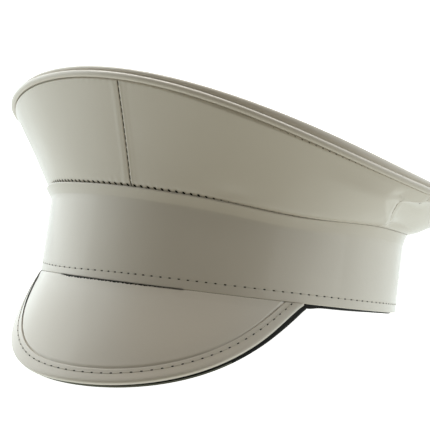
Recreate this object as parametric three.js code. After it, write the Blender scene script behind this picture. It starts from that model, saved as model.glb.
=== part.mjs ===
// Peaked cap in ivory patent vinyl, lying on a flat surface as it does by itself.
// Millimetres, +Z up, the peak points to -Y and the wearer's left is +X.
// Every piece is shaped about the upright axis of the head band. The whole cap is then pitched back,
// so that it rests on the front edge of the peak and on the back of the band.

import * as THREE from 'three';
import { mergeVertices } from 'three/addons/utils/BufferGeometryUtils.js';

const { clamp, degToRad, lerp, smoothstep } = THREE.MathUtils;

// Clearance between pieces that are sewn together
const SEWN_GAP = 0.3;

// Head band: an upright oval strip, a little shorter front to back at its top edge
const BAND = {
  length: 206,
  width: 176.8,
  topLength: 200.4,
  height: 42.6,
  frontRise: 1.8,
  wall: 2.2,
  facets: 72,
};
// Where the slack crown sags on the band's top edge, left of the front
const SAG = { angle: 58, across: 24, depth: 4.2 };
// Outer outline up to the padded top edge: share of the height, rise from there, distance outward
const BAND_OUTLINE = [
  { share: 0, rise: 0, out: -0.3 },
  { share: 0, rise: 0.8, out: 0 },
  { share: 1, rise: -7, out: 0 },
  { share: 1, rise: -4.4, out: 0.5 },
  { share: 1, rise: -2.6, out: 1.2 },
  { share: 1, rise: -1.1, out: 1.1 },
  { share: 1, rise: -0.3, out: 0.3 },
];

// Sweatband: a thin strip inside the band, showing a narrow edge below it
const SWEATBAND = { wall: 1.2, top: 30, drop: 0.8, facets: 64 };

// Crown rim: a larger oval, high in front, low at the sides and leaning to the wearer's left
const RIM = {
  length: 262.6,
  width: 238.8,
  leftShift: 2.5,
  backShift: 7.6,
  sideHeight: 64,
  frontRise: 26.4,
  backRise: 4,
  leftDrop: 7.8,
};

// Crown quarters: flared walls from band to rim, swelling out just above the band, most at the sides.
// Rows of facets crowd towards the band by the power lowRows.
const QUARTER = {
  wall: 1.4,
  sewnWall: 2,
  seatInset: 0.2,
  frontBelly: 0.8,
  sideBelly: 4,
  bellyStart: 0.03,
  sideSeam: 77,
  seamHalfGap: 0.1,
  lowRows: 1.4,
};
const QUARTERS = [
  { name: 'crown_front_left', from: 0, to: QUARTER.sideSeam, facets: 30, rows: 11 },
  { name: 'crown_back_left', from: QUARTER.sideSeam, to: 180, facets: 26, rows: 9 },
  { name: 'crown_back_right', from: 180, to: 360 - QUARTER.sideSeam, facets: 20, rows: 6 },
  { name: 'crown_front_right', from: 360 - QUARTER.sideSeam, to: 360, facets: 18, rows: 6 },
];

// Buckle beside the left seam: a creased arc about a slack patch, soft in front and sharp behind.
// Angles run from the front to the wearer's left, heights are shares of the crown wall.
const BUCKLE = {
  angle: 88,
  height: 0.5,
  across: 14.5,
  tall: 0.34,
  depth: 3.5,
  frontFade: 0.45,
  backFade: 0.25,
  seatFade: 0.12,
};

// Shallow dents: angle, height share, half width in degrees, half height share, depth
const DENTS = [
  { angle: 31, height: 0.1, across: 6, tall: 0.09, depth: 0.8 },
  { angle: -48, height: 0.45, across: 12, tall: 0.3, depth: 0.7 },
];

// Piping: a round cord cover sewn between the quarters and the top panel, set from the rim line
const PIPING = { radius: 1.4, out: 0.4, up: 1.8, sides: 7, facets: 72 };

// Top panel: a sheet bowed from front to back whose edge is rolled over a wire
const TOP = { wall: 1.4, sag: 2, up: 4.2, lip: 3.5, leftSwell: 0.45, facets: 64 };
// Rolled edge from the flat of the panel over the crest to the lower lip: outward and up from the rim
const TOP_EDGE = [
  { out: -8, up: 4.2 },
  { out: -4, up: 4.6 },
  { out: -1.4, up: 5.3 },
  { out: 0.2, up: 5.4 },
  { out: 1, up: 4.9 },
  { out: 1.2, up: 4.2 },
  { out: 0.6, up: TOP.lip },
];
// Under face of the same edge, back to the flat of the panel
const TOP_UNDER_EDGE = [
  { out: -1.2, up: TOP.lip },
  { out: -4, up: 3.2 },
  { out: -8, up: 2.8 },
];
// Rings of the flat panel between the edge and the middle, as shares of the rim
const TOP_RINGS = [0.8, 0.55, 0.28];

// Peak: a steep curved tongue under the front of the band, blunt at its ends
const PEAK = {
  spread: 60.3,
  reach: 53,
  fullness: 1.49,
  endSwell: 0.51,
  slope: 61.6,
  endSlope: 65.4,
  leftTwist: 4.9,
  bulge: 1.5,
  facets: 38,
};
const SKIN = { wall: 1, endShare: 0.92, rows: 6 };
const BINDING = { wall: 1, width: 7.7, round: 0.6, turnShare: 0.8, endShare: 0.955 };
const UNDERLAY = { wall: 1.2, proud: 0.4, endShare: 0.955, rows: 5 };

// Rest: how far the soft edges flatten where they lie on the surface
const REST = { backFlat: 5, peakFlat: 0.7 };

const IVORY = 0xe9e7dd;
const BLACK = 0x17171a;
const VINYL_ROUGHNESS = 0.2;
const LEATHER_ROUGHNESS = 0.55;

// Small step for measuring the direction of a surface
const NUDGE = 0.001;

// Outward direction square to an oval, angle from the front to the wearer's left
function ovalSquare(halfLength, halfWidth, angle) {
  return new THREE.Vector3(Math.sin(angle) / halfWidth, -Math.cos(angle) / halfLength, 0).normalize();
}

// Point on an oval at that angle, moved outward
function ovalPoint(halfLength, halfWidth, angle, out, height) {
  const point = new THREE.Vector3(halfWidth * Math.sin(angle), -halfLength * Math.cos(angle), height);
  return point.addScaledVector(ovalSquare(halfLength, halfWidth, angle), out);
}

function bandPoint(angle, height, out) {
  const halfLength = lerp(BAND.length, BAND.topLength, height / BAND.height) / 2;
  return ovalPoint(halfLength, BAND.width / 2, angle, out, height);
}

// Angle from the front, from -180 on the wearer's right to 180 on the left
function degreesFromFront(angle) {
  return THREE.MathUtils.radToDeg(angle > Math.PI ? angle - 2 * Math.PI : angle);
}

function bandTop(angle) {
  const aside = (degreesFromFront(angle) - SAG.angle) / SAG.across;
  return BAND.height + BAND.frontRise * Math.cos(angle) - SAG.depth * Math.exp(-aside * aside);
}

// Height of the rim line over the oval of the rim, or of the panel inside it at a share of the rim
function rimHeight(angle, share) {
  const along = Math.cos(angle) * share;
  const rise = along > 0 ? RIM.frontRise : RIM.backRise;
  return RIM.sideHeight + rise * along * along - RIM.leftDrop * share * Math.sin(angle);
}

function rimPoint(angle, share, out, up) {
  const height = rimHeight(angle, share) + up;
  const point = ovalPoint(share * RIM.length / 2, share * RIM.width / 2, angle, out, height);
  return point.add(new THREE.Vector3(RIM.leftShift, RIM.backShift, 0));
}

// Closed skin over a row of sections, each a loop of points: outer face first, then the inner face back.
// A ring joins its last section to its first, and a strip is closed across both end loops.
function loft(sections, ring) {
  const loop = sections[0].length;
  const spans = ring ? sections.length : sections.length - 1;
  const faces = [];
  for (let s = 0; s < spans; s += 1) {
    const here = s * loop;
    const next = ((s + 1) % sections.length) * loop;
    for (let k = 0; k < loop; k += 1) {
      const k1 = (k + 1) % loop;
      faces.push([here + k, here + k1, next + k1], [here + k, next + k1, next + k]);
    }
  }
  const end = (sections.length - 1) * loop;
  for (let k = 0; !ring && k < loop / 2 - 1; k += 1) {
    const far = loop - 1 - k;
    faces.push([k, far - 1, k + 1], [k, far, far - 1]);
    faces.push([end + k, end + k + 1, end + far - 1], [end + k, end + far - 1, end + far]);
  }
  const geometry = new THREE.BufferGeometry().setFromPoints(sections.flat());
  geometry.setIndex(faces.flat());
  return faceOutward(mergeVertices(geometry));
}

// Drops faces that have closed up at a pole and turns the rest to face out
function faceOutward(geometry) {
  const index = geometry.getIndex().array;
  const place = geometry.getAttribute('position');
  const corner = (i) => new THREE.Vector3().fromBufferAttribute(place, i);
  const kept = [];
  let volume = 0;
  for (let f = 0; f < index.length; f += 3) {
    const [a, b, c] = index.slice(f, f + 3);
    if (a !== b && b !== c && c !== a) {
      kept.push([a, b, c]);
      volume += corner(a).dot(corner(b).cross(corner(c)));
    }
  }
  geometry.setIndex(kept.map((face) => (volume > 0 ? face : face.reverse())).flat());
  geometry.computeVertexNormals();
  return geometry;
}

// Angles once round, one for each facet
function roundAngles(facets) {
  return Array.from({ length: facets }, (_, i) => (2 * Math.PI * i) / facets);
}

// Even steps from one value to another, both ends included
function steps(from, to, count) {
  return Array.from({ length: count + 1 }, (_, i) => lerp(from, to, i / count));
}

function peakSlope(share) {
  return degToRad(lerp(PEAK.slope, PEAK.endSlope, share * share) - PEAK.leftTwist * share);
}

function peakLength(share) {
  const part = share * share;
  return PEAK.reach * (1 - part) ** PEAK.fullness * (1 + PEAK.endSwell * part);
}

// Point of the peak at a share of its half spread, a distance down its slope and a lift off its face,
// which arches up by the bulge half way down
function peakPoint(share, along, lift) {
  const slope = peakSlope(share);
  const length = peakLength(share);
  const part = clamp(along / length, 0, 1);
  const raised = lift + 4 * PEAK.bulge * part * (1 - part) * (length / PEAK.reach);
  const out = along * Math.cos(slope) + raised * Math.sin(slope);
  const point = bandPoint(share * degToRad(PEAK.spread), 0, out);
  point.z = raised * Math.cos(slope) - along * Math.sin(slope);
  return point;
}

// Where a layer of the peak starts, cut level at a drop below the band
function peakRoot(share, lift, drop) {
  const slope = peakSlope(share);
  return (drop + lift * Math.cos(slope)) / Math.sin(slope);
}

// Distance up the slope that an inset square to the outer edge takes
function edgeInset(share, inset) {
  const rim = (s) => peakPoint(s, peakLength(s), 0);
  const edge = rim(share + NUDGE).sub(rim(share - NUDGE));
  const ruling = rim(share).sub(peakPoint(share, 0, 0));
  return inset / Math.sin(edge.angleTo(ruling));
}

// Layers of the peak, as lifts off its outer face: binding, skin, underlay
const SKIN_TOP = -BINDING.wall - SEWN_GAP;
const SKIN_BOTTOM = SKIN_TOP - SKIN.wall;
const UNDERLAY_TOP = SKIN_BOTTOM - SEWN_GAP;
const UNDERLAY_BOTTOM = UNDERLAY_TOP - UNDERLAY.wall;

// The surface that the cap lies on, seen from the band: through the flattened back and front edges
const REST_BACK = BAND.length / 2 - REST.backFlat;
const FRONT_FOOT = peakPoint(0, PEAK.reach + UNDERLAY.proud, UNDERLAY_BOTTOM);
const PITCH = Math.atan2(-FRONT_FOOT.z - REST.peakFlat, REST_BACK - FRONT_FOOT.y);

function layDown(point) {
  const surface = (point.y - REST_BACK) * Math.tan(PITCH);
  point.z = Math.max(point.z, surface);
  return point;
}

function bandGeometry() {
  const sections = roundAngles(BAND.facets).map((angle) => {
    const outer = BAND_OUTLINE.map((row) => bandPoint(angle, row.share * bandTop(angle) + row.rise, row.out));
    const topRow = BAND_OUTLINE[BAND_OUTLINE.length - 1];
    const inner = [
      bandPoint(angle, bandTop(angle) + topRow.rise, -BAND.wall),
      bandPoint(angle, 0, -BAND.wall),
    ];
    return [...outer, ...inner].map(layDown);
  });
  return loft(sections, true);
}

function sweatbandGeometry() {
  const outer = -BAND.wall - SEWN_GAP;
  const inner = outer - SWEATBAND.wall;
  const sections = roundAngles(SWEATBAND.facets).map((angle) => [
    bandPoint(angle, -SWEATBAND.drop, outer),
    bandPoint(angle, SWEATBAND.top, outer),
    bandPoint(angle, SWEATBAND.top, inner),
    bandPoint(angle, -SWEATBAND.drop, inner),
  ].map(layDown));
  return loft(sections, true);
}

// Depth of the buckle's crease at an angle and height on the crown wall
function buckleDepth(degrees, height) {
  const ahead = (degrees - BUCKLE.angle) / BUCKLE.across;
  const above = (height - BUCKLE.height) / BUCKLE.tall;
  const reach = Math.hypot(ahead, above);
  const fade = reach > 1 ? BUCKLE.frontFade : BUCKLE.backFade;
  const crease = Math.exp(-Math.abs(reach - 1) / fade);
  const forward = reach > 0 ? 0.5 - (0.5 * ahead) / reach : 0;
  return BUCKLE.depth * crease * forward;
}

function dentDepth(degrees, height, dent) {
  const aside = ((degrees - dent.angle) / dent.across) ** 2;
  const above = ((height - dent.height) / dent.tall) ** 2;
  return dent.depth * Math.exp(-aside - above);
}

// Depth of all folds and dents, which end before the sewn edges
function foldDepth(angle, height) {
  const degrees = degreesFromFront(angle);
  const seat = smoothstep(height, 0, BUCKLE.seatFade) * smoothstep(1 - height, 0, BUCKLE.seatFade);
  const dents = DENTS.reduce((sum, dent) => sum + dentDepth(degrees, height, dent), 0);
  return seat * (buckleDepth(degrees, height) + dents);
}

// Smooth crown wall between the band's top edge and the rim line
function crownWall(angle, height) {
  const seat = bandPoint(angle, BAND.height, -QUARTER.seatInset);
  seat.z = bandTop(angle);
  const wall = seat.lerp(rimPoint(angle, 1, 0, 0), height);
  const swell = lerp(QUARTER.frontBelly, QUARTER.sideBelly, Math.sin(angle) ** 2);
  const belly = swell * (1 - Math.exp(-height / QUARTER.bellyStart)) * (1 - height) ** 2;
  return wall.addScaledVector(ovalSquare(RIM.length / 2, RIM.width / 2, angle), belly);
}

function crownNormal(angle, height) {
  const round = crownWall(angle + NUDGE, height).sub(crownWall(angle - NUDGE, height));
  const upward = crownWall(angle, height + NUDGE).sub(crownWall(angle, height - NUDGE));
  return round.cross(upward).normalize();
}

// Outer and inner points of the wall. The sewn edges are cut level, the rest is square to the wall.
function quarterPair(angle, height) {
  const normal = crownNormal(angle, height);
  const outer = crownWall(angle, height).addScaledVector(normal, -foldDepth(angle, height));
  const sewn = height === 0 || height === 1;
  const inward = sewn ? new THREE.Vector3(-normal.x, -normal.y, 0).normalize() : normal.clone().negate();
  const distance = sewn ? QUARTER.sewnWall : QUARTER.wall;
  return { outer, inner: outer.clone().addScaledVector(inward, distance) };
}

function quarterGeometry(quarter) {
  const from = degToRad(quarter.from + QUARTER.seamHalfGap);
  const to = degToRad(quarter.to - QUARTER.seamHalfGap);
  const heights = steps(0, 1, quarter.rows).map((height) => height ** QUARTER.lowRows);
  const sections = steps(from, to, quarter.facets).map((angle) => {
    const pairs = heights.map((height) => quarterPair(angle, height));
    const outer = pairs.map((pair) => pair.outer);
    const inner = pairs.map((pair) => pair.inner).reverse();
    return [...outer, ...inner];
  });
  return loft(sections, false);
}

function pipingGeometry() {
  const turns = roundAngles(PIPING.sides);
  const sections = roundAngles(PIPING.facets).map((angle) => turns.map((turn) => {
    const out = PIPING.out + PIPING.radius * Math.cos(turn);
    const up = PIPING.up + PIPING.radius * Math.sin(turn);
    return rimPoint(angle, 1, out, up);
  }));
  return loft(sections, true);
}

// Flat of the top panel at a share of the rim, above or below its middle
function panelPoint(angle, share, up) {
  const point = rimPoint(angle, share, 0, up);
  point.z -= TOP.sag * (1 - share * share);
  return point;
}

// The rolled edge stands taller on the wearer's left
function rollHeight(angle, up) {
  return TOP.lip + (up - TOP.lip) * (1 + TOP.leftSwell * Math.sin(angle));
}

function topGeometry() {
  const under = TOP.up - TOP.wall;
  const sections = roundAngles(TOP.facets).map((angle) => [
    new THREE.Vector3(RIM.leftShift, RIM.backShift, RIM.sideHeight + TOP.up - TOP.sag),
    ...TOP_RINGS.map((share) => panelPoint(angle, share, TOP.up)).reverse(),
    ...TOP_EDGE.map((row) => rimPoint(angle, 1, row.out, rollHeight(angle, row.up))),
    ...TOP_UNDER_EDGE.map((row) => rimPoint(angle, 1, row.out, row.up)),
    ...TOP_RINGS.map((share) => panelPoint(angle, share, under)),
    new THREE.Vector3(RIM.leftShift, RIM.backShift, RIM.sideHeight + under - TOP.sag),
  ]);
  return loft(sections, true);
}

// One flat layer of the peak between two lifts, cut level under the band and set in from the outer edge
function layerGeometry(top, bottom, drop, inset, layer) {
  const { endShare, rows } = layer;
  const sections = steps(-endShare, endShare, PEAK.facets).map((share) => {
    const tip = peakLength(share) - edgeInset(share, inset);
    const down = steps(peakRoot(share, top, drop), tip, rows);
    const back = steps(tip, peakRoot(share, bottom, drop), rows);
    const upper = down.map((along) => peakPoint(share, along, top));
    const lower = back.map((along) => peakPoint(share, along, bottom));
    return [...upper, ...lower].map(layDown);
  });
  return loft(sections, false);
}

// The binding lies on the skin's margin and turns down over its edge
function bindingGeometry() {
  const sections = steps(-BINDING.endShare, BINDING.endShare, PEAK.facets).map((share) => {
    const tip = peakLength(share);
    const root = peakRoot(share, 0, SEWN_GAP);
    const start = Math.max(tip - edgeInset(share, BINDING.width), root);
    const lip = tip - edgeInset(share, BINDING.wall);
    const bend = tip - edgeInset(share, BINDING.round);
    const middle = (start + lip) / 2;
    return [
      peakPoint(share, start, 0),
      peakPoint(share, middle, 0),
      peakPoint(share, bend, 0),
      peakPoint(share, tip, -BINDING.round),
      peakPoint(share, tip, SKIN_BOTTOM),
      peakPoint(share, lip, SKIN_BOTTOM),
      peakPoint(share, lip, -BINDING.wall - SEWN_GAP / 2),
      peakPoint(share, lerp(start, lip, BINDING.turnShare), -BINDING.wall),
      peakPoint(share, middle, -BINDING.wall),
      peakPoint(share, start, -BINDING.wall),
    ];
  });
  return loft(sections, false);
}

function piece(name, geometry, colour, roughness) {
  const material = new THREE.MeshStandardMaterial({ color: colour, roughness, metalness: 0 });
  const mesh = new THREE.Mesh(geometry, material);
  mesh.name = name;
  return mesh;
}

const crown = new THREE.Group();
for (const quarter of QUARTERS) {
  crown.add(piece(quarter.name, quarterGeometry(quarter), IVORY, VINYL_ROUGHNESS));
}
crown.add(piece('rim_piping', pipingGeometry(), IVORY, VINYL_ROUGHNESS));
crown.add(piece('crown_top', topGeometry(), IVORY, VINYL_ROUGHNESS));

const head = new THREE.Group();
head.add(piece('band', bandGeometry(), IVORY, VINYL_ROUGHNESS));
head.add(piece('sweatband', sweatbandGeometry(), BLACK, LEATHER_ROUGHNESS));

const peak = new THREE.Group();
const skinInset = BINDING.wall + SEWN_GAP;
const skin = layerGeometry(SKIN_TOP, SKIN_BOTTOM, SEWN_GAP, skinInset, SKIN);
const underlayDrop = SWEATBAND.drop + SEWN_GAP;
const underlay = layerGeometry(UNDERLAY_TOP, UNDERLAY_BOTTOM, underlayDrop, -UNDERLAY.proud, UNDERLAY);
peak.add(piece('peak', skin, IVORY, VINYL_ROUGHNESS));
peak.add(piece('peak_binding', bindingGeometry(), IVORY, VINYL_ROUGHNESS));
peak.add(piece('peak_underlay', underlay, BLACK, LEATHER_ROUGHNESS));

// The cap is pitched back onto its rest, with its origin under the middle of its outline
const cap = new THREE.Group();
cap.add(crown, head, peak);
cap.rotation.x = -PITCH;
cap.position.z = REST_BACK * Math.sin(PITCH);
const outline = new THREE.Box3().setFromObject(cap, true);
const middle = outline.getCenter(new THREE.Vector3());
cap.position.x -= middle.x;
cap.position.y -= middle.y;

export default cap;
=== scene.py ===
import math

import bpy
import numpy as np
from mathutils import Matrix, Vector


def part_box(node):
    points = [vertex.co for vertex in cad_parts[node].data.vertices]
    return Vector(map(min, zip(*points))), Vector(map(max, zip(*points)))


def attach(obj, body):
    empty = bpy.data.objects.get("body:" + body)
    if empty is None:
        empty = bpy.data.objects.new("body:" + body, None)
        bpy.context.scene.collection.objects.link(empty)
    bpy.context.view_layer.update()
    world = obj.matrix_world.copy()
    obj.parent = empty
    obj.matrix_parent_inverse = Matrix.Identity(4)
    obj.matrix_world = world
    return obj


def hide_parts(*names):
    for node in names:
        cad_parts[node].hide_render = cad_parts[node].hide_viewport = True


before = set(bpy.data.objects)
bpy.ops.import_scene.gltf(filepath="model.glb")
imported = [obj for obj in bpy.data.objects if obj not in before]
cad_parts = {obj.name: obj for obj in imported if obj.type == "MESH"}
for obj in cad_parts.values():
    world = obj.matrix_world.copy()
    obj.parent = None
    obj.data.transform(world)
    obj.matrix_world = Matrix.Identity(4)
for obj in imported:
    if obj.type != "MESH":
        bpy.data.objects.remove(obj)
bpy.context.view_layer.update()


# Head band
# An upright strip of glossy ivory vinyl over stiff card, joined into an oval round the head. Its lower edge
# is turned under and stitched all round, and its padded top edge rolls over the seam that holds the crown.
MM = 0.001
BAND_LENGTH, BAND_TOP_LENGTH, BAND_WIDTH, BAND_TOP_WIDTH = 206.0, 200.4, 176.8, 178.0
BAND_HEIGHT, BAND_FRONT_RISE, BAND_WALL = 42.6, 1.8, 2.2
BAND_COLUMNS = 900
BAND_SAGS = [
    {"angle": 52, "across": 27, "depth": 4.3},
    {"angle": 14, "across": 14, "depth": 0.4},
    {"angle": 100, "across": 20, "depth": 1.7},
    {"angle": -66, "across": 18, "depth": 3.2},
]
HEM_ROUND, FOOT_INSET, REST_FLAT = 0.5, 0.05, 5.0
HEM_ROWS, LOW_ROWS, WALL_ROWS, FLARE_ROWS, ROLL_ROWS, INNER_ROWS = 6, 24, 14, 10, 10, 14
LOW_START, LOW_END, WALL_FIRST, FLARE_FIRST, FLARE_LAST, ROLL_TURN = 1.2, 7.0, 0.06, 0.1, 0.93, 80.0
ROLL_OUT, ROLL_ROUND, TIGHT_ROLL, FLARE_DROP, FLARE_CURVE = 2.4, 0.6, 0.08, 5.6, 1.15
TIGHT_START, TIGHT_END = 48.0, 66.0
BACK_FADE_START, BACK_FADE_END = 100.0, 130.0
RIGHT_FLARE, RIGHT_START, RIGHT_END, TIGHT_FLARE_LOSS = 0.27, 15.0, 42.0, 0.4
TOP_FALL, TIGHT_TOP_RISE = 0.3, 0.15
BAND_STITCH_HEIGHT, BAND_STITCH_PITCH = 4.4, 4.75
STITCH_CROWDING = [
    {"angle": 2.5, "across": 9, "extra": 0.35},
    {"angle": 24, "across": 9, "extra": 0.15},
]
STITCH_DIP, STITCH_DIP_ANGLE, STITCH_DIP_ACROSS = 1.0, -24.0, 22.0
FURROW_DEPTH, FURROW_WIDTH, DIP_DEPTH, DIP_WIDTH = 0.05, 0.9, 0.18, 0.6
STITCH_SEARCH = 4000
THREAD_ROUND = 0.16
HOLE_LONG, HOLE_WIDE, HOLE_SUNK = 0.92, 0.29, 0.06
SHARP_EDGE = math.radians(50)
NOISE_LOW, NOISE_HIGH = 0.3, 0.7

PITCH = math.radians(12.16423)
REST_BACK = BAND_LENGTH / 2 - REST_FLAT
band_low, band_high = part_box("band")
front_foot = -(BAND_LENGTH / 2 - FOOT_INSET) * math.cos(PITCH) + HEM_ROUND * math.sin(PITCH)
cap_place = np.array([
    (band_low.x + band_high.x) / 2,
    band_low.y - front_foot * MM,
    REST_BACK * math.sin(PITCH) * MM,
])


def laid(points):
    """Points about the band's upright axis, in millimetres, as metres in the shared frame. The whole cap is
    pitched back, and soft edges that would reach through the floor lie flat on it."""
    x, y, z = np.moveaxis(points, -1, 0)
    z = np.maximum(z, (y - REST_BACK) * math.tan(PITCH))
    back = y * math.cos(PITCH) + z * math.sin(PITCH)
    up = z * math.cos(PITCH) - y * math.sin(PITCH)
    return np.stack([x, back, up], axis=-1) * MM + cap_place


def unit(vectors):
    return vectors / np.linalg.norm(vectors, axis=-1, keepdims=True)


def oval_square(half_length, half_width, angle):
    """Level direction square to an oval, at an angle from the front towards the wearer's left."""
    across = np.sin(angle) / half_width
    along = -np.cos(angle) / half_length
    return unit(np.stack([across, along, 0 * across], axis=-1))


def oval_point(half_length, half_width, angle, out, height):
    angle, out, height, half_length, half_width = np.broadcast_arrays(
        angle, out, height, half_length, half_width)
    point = np.stack([half_width * np.sin(angle), -half_length * np.cos(angle), height], axis=-1)
    return point + oval_square(half_length, half_width, angle) * out[..., None]


def band_point(angle, height, out):
    share = height / BAND_HEIGHT
    half_length = (BAND_LENGTH + (BAND_TOP_LENGTH - BAND_LENGTH) * share) / 2
    half_width = (BAND_WIDTH + (BAND_TOP_WIDTH - BAND_WIDTH) * share) / 2
    return oval_point(half_length, half_width, angle, out, height)


def degrees_from_front(angle):
    return (np.degrees(angle) + 180) % 360 - 180


def swell(angle, centre, across):
    """A soft swelling of height 1 about an angle in degrees from the front."""
    return np.exp(-((degrees_from_front(angle) - centre) / across) ** 2)


def band_top(angle):
    sag = sum(row["depth"] * swell(angle, row["angle"], row["across"]) for row in BAND_SAGS)
    return BAND_HEIGHT + BAND_FRONT_RISE * np.cos(angle) - sag


def ease(value, start, end):
    part = np.clip((value - start) / (end - start), 0, 1)
    return part * part * (3 - 2 * part)


def right_side(angle):
    """How far round to the wearer's right: 0 at the front and back, 1 at the side."""
    degrees = degrees_from_front(angle)
    return ease(-degrees, RIGHT_START, RIGHT_END) * (1 - ease(-degrees, BACK_FADE_START, BACK_FADE_END))


def lengths_along(points):
    """Distance of each point from the first, along a row of points on the first axis."""
    steps = np.linalg.norm(np.diff(points, axis=0), axis=-1)
    return np.concatenate([np.zeros((1,) + steps.shape[1:]), np.cumsum(steps, axis=0)])


def loft(sections, ring, finish):
    """Closed skin over sections, each a loop of points: the outer face first, then the inner face back.
    A ring joins its last section to its first, and a strip is closed across both ends. finish gives the
    number of the material for each place round the loop."""
    columns, loop = sections.shape[:2]
    number = np.arange(columns * loop).reshape(columns, loop)
    here = number if ring else number[:-1]
    after = np.roll(number, -1, axis=0) if ring else number[1:]
    corners = [here, np.roll(here, -1, axis=1), np.roll(after, -1, axis=1), after]
    faces = np.stack(corners, axis=-1).reshape(-1, 4)
    around = lengths_along(np.concatenate([sections[columns // 2], sections[columns // 2][:1]]))
    middle = sections[:, loop // 4]
    along = lengths_along(np.concatenate([middle, middle[:1]]))[:len(here) + 1]
    u = np.stack([along[:-1], along[:-1], along[1:], along[1:]], axis=-1)[:, None, :]
    v = np.stack([around[:-1], around[1:], around[1:], around[:-1]], axis=-1)[None, :, :]
    cut = np.stack(np.broadcast_arrays(u, v), axis=-1).reshape(-1, 4, 2)
    look = np.broadcast_to(finish, (len(here), loop)).reshape(-1)
    if not ring:
        k = np.arange(loop // 2 - 1)
        cap = np.stack([k, loop - 1 - k, loop - 2 - k, k + 1], axis=-1)
        far = cap[:, ::-1] + (columns - 1) * loop
        faces = np.concatenate([faces, cap, far])
        cut = np.concatenate([cut, np.zeros((2 * len(cap), 4, 2))])
        look = np.concatenate([look, np.full(2 * len(cap), look[0])])
    points = sections.reshape(-1, 3)
    a, b, c, d = (points[faces[:, i]] for i in range(4))
    volume = np.sum(a * np.cross(b, c)) + np.sum(a * np.cross(c, d))
    turned = faces if volume > 0 else faces[:, ::-1]
    return {"points": points, "faces": turned, "cut": cut if volume > 0 else cut[:, ::-1], "finish": look}


def repeated(shapes, faces, finish):
    """One body of many equal small shapes, each a row of points joined by the same faces."""
    count, size = shapes.shape[:2]
    shifted = faces[None] + (np.arange(count) * size)[:, None, None]
    every = shifted.reshape(-1, 4)
    return {"points": shapes.reshape(-1, 3), "faces": every, "cut": np.zeros((len(every), 4, 2)),
            "finish": np.full(len(every), finish)}


def threads(starts, ends, square, thick, finish):
    """Stitches of round thread from hole to hole, arched over the surface and dipping in at both ends."""
    rings, sides = 9, 8
    arch, sunk, end_girth = 2.2, 2, 0.05
    part = np.linspace(0, 1, rings)
    rise = thick * (arch * np.sin(np.pi * part) ** 0.5 - sunk)
    girth = thick * np.where((part == 0) | (part == 1), end_girth, 1)
    run = unit(ends - starts)
    side = np.cross(square, run)
    turn = np.linspace(0, 2 * np.pi, sides, endpoint=False)
    core = starts[:, None] + (ends - starts)[:, None] * part[:, None] + square[:, None] * rise[:, None]
    spoke = side[:, None] * np.cos(turn)[:, None] + square[:, None] * np.sin(turn)[:, None]
    skin = core[:, :, None] + spoke[:, None] * girth[:, None, None]
    ring = np.arange(sides)
    first = np.stack([ring, np.roll(ring, -1), np.roll(ring, -1) + sides, ring + sides], axis=-1)
    faces = np.concatenate([first + sides * i for i in range(rings - 1)])
    ends_closed = np.array([[0, 3, 2, 1], [0, 5, 4, 3], [0, 7, 6, 5]])
    faces = np.concatenate([faces, ends_closed, ends_closed[:, ::-1] + sides * (rings - 1)])
    return repeated(skin.reshape(len(starts), -1, 3), faces, finish)


def needle_holes(centres, run, square, long, wide, finish):
    """Needle holes: small dished ovals that lie in the surface, in a finish that paints the shade inside
    them. Their sizes may differ along the row.
    """
    sides, sunk, deep = 8, 0.1, 0.5
    side = np.cross(square, run)
    turn = np.linspace(0, 2 * np.pi, sides, endpoint=False)
    long, wide = (np.broadcast_to(size, len(centres))[:, None, None] for size in (long, wide))
    rim = (centres[:, None] + run[:, None] * (long * np.cos(turn)[:, None])
           + side[:, None] * (wide * np.sin(turn)[:, None]))
    dish = (centres - square * sunk)[:, None]
    base = (centres - square * deep)[:, None]
    ring = np.arange(0, sides, 2)
    over = np.stack([np.full(len(ring), sides), ring, ring + 1, (ring + 2) % sides], axis=-1)
    under = np.stack([np.full(len(ring), sides + 1), (ring + 2) % sides, ring + 1, ring], axis=-1)
    shapes = np.concatenate([rim, dish, base], axis=1)
    return repeated(shapes, np.concatenate([over, under]), finish)


def sewn(name, parts, finishes):
    """One piece from its lofts, threads and holes, riding on the cap in place of its plain solid."""
    mesh = bpy.data.meshes.new(name)
    shift = np.cumsum([0] + [len(part["points"]) for part in parts])
    points = laid(np.concatenate([part["points"] for part in parts]))
    faces = np.concatenate([part["faces"] + shift[i] for i, part in enumerate(parts)])
    mesh.from_pydata(points.tolist(), [], faces.tolist())
    flat = np.concatenate([part["cut"] for part in parts]).astype(np.float32).ravel() * MM
    mesh.uv_layers.new(name="Cut").uv.foreach_set("vector", flat)
    for finish in finishes:
        mesh.materials.append(finish)
    look = np.concatenate([part["finish"] for part in parts]).astype(np.int32)
    mesh.polygons.foreach_set("material_index", look)
    mesh.shade_smooth()
    mesh.set_sharp_from_angle(angle=SHARP_EDGE)
    piece = bpy.data.objects.new(name + "_sewn", mesh)
    bpy.context.scene.collection.objects.link(piece)
    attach(piece, "root")
    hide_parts(name)
    return piece


def material(name):
    made = bpy.data.materials.new(name)
    made.use_nodes = True
    return made, made.node_tree.nodes, made.node_tree.links, made.node_tree.nodes["Principled BSDF"]


def speckle(nodes, links, scale, detail, source="Object"):
    """Soft noise of a size in patches per metre, over the cap or over the flat cut of the piece."""
    place = nodes.new("ShaderNodeTexCoord")
    noise = nodes.new("ShaderNodeTexNoise")
    noise.inputs["Scale"].default_value = scale
    noise.inputs["Detail"].default_value = detail
    links.new(place.outputs[source], noise.inputs["Vector"])
    return noise


def between(nodes, links, source, low, high):
    """A patchy value from low to high."""
    spread = nodes.new("ShaderNodeMapRange")
    spread.inputs["From Min"].default_value = NOISE_LOW
    spread.inputs["From Max"].default_value = NOISE_HIGH
    spread.inputs["To Min"].default_value = low
    spread.inputs["To Max"].default_value = high
    links.new(source.outputs["Fac"], spread.inputs["Value"])
    return spread.outputs["Result"]


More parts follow.
